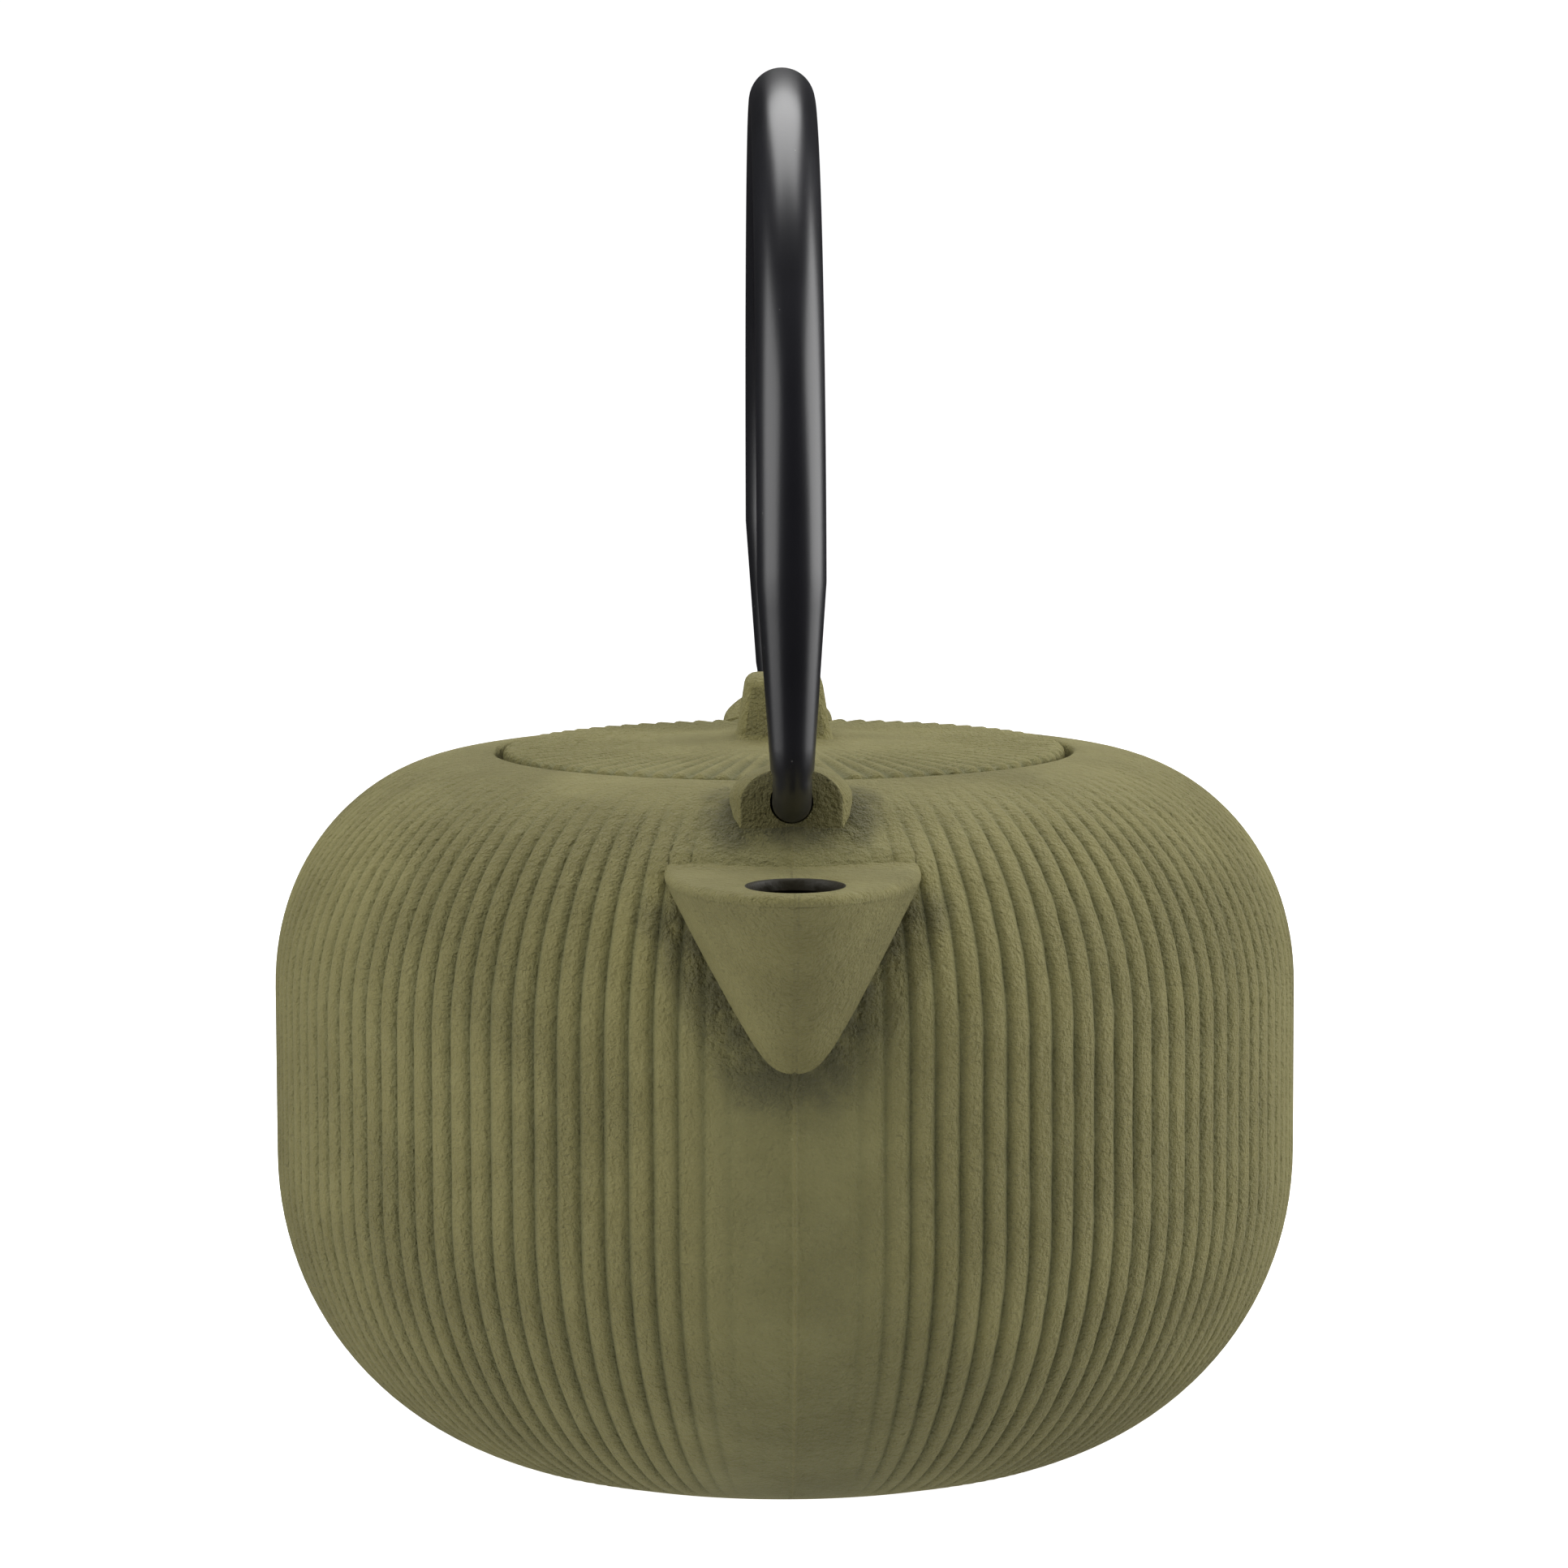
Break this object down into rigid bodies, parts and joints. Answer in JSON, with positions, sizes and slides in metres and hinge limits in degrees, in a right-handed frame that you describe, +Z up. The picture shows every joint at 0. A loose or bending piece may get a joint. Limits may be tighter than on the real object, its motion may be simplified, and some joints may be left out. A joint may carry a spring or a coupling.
{
  "type": "teapot",
  "caption": "Squat ribbed cast iron teapot with a short V-shaped spout, a swinging steel hoop handle, a flat ribbed lid with a post knob and a lift-out steel tea strainer.",
  "frame": {"origin": "centre of the flat underside, on the table, on the axis of the pot and lid", "axes": "+Z up, spout along -Y, the hoop handle stands in the YZ plane and swings about an axis along Y"},
  "size_m": [0.15, 0.1705, 0.2033],
  "materials": {
    "olive_cast_iron": "matte olive coating over sand-cast grain, black enamel inside",
    "black_steel": "satin black coating on a forged steel rod",
    "strainer_steel": "bright pressed and perforated stainless steel"
  },
  "bodies": {
    "pot": {"pot_body": "olive_cast_iron"},
    "handle": {"bail_handle": "black_steel"},
    "strainer": {"strainer_collar": "strainer_steel", "strainer_wall": "strainer_steel", "strainer_side_seam": "strainer_steel", "strainer_floor_band": "strainer_steel", "strainer_floor": "strainer_steel"},
    "lid": {"lid": "olive_cast_iron"}
  },
  "joints": [
    {"name": "handle_swing", "type": "hinge", "parent": "pot", "child": "handle", "pos_m": [0, 0, 0.1025], "axis": [0, 1, 0], "range_deg": [-103, 103]},
    {"name": "strainer_lift", "type": "slide", "parent": "pot", "child": "strainer", "axis": [0, 0, 1], "range_m": [0, 0.052]},
    {"name": "lid_lift", "type": "slide", "parent": "strainer", "child": "lid", "axis": [0, 0, 1], "range_m": [0, 0.018]}
  ]
}
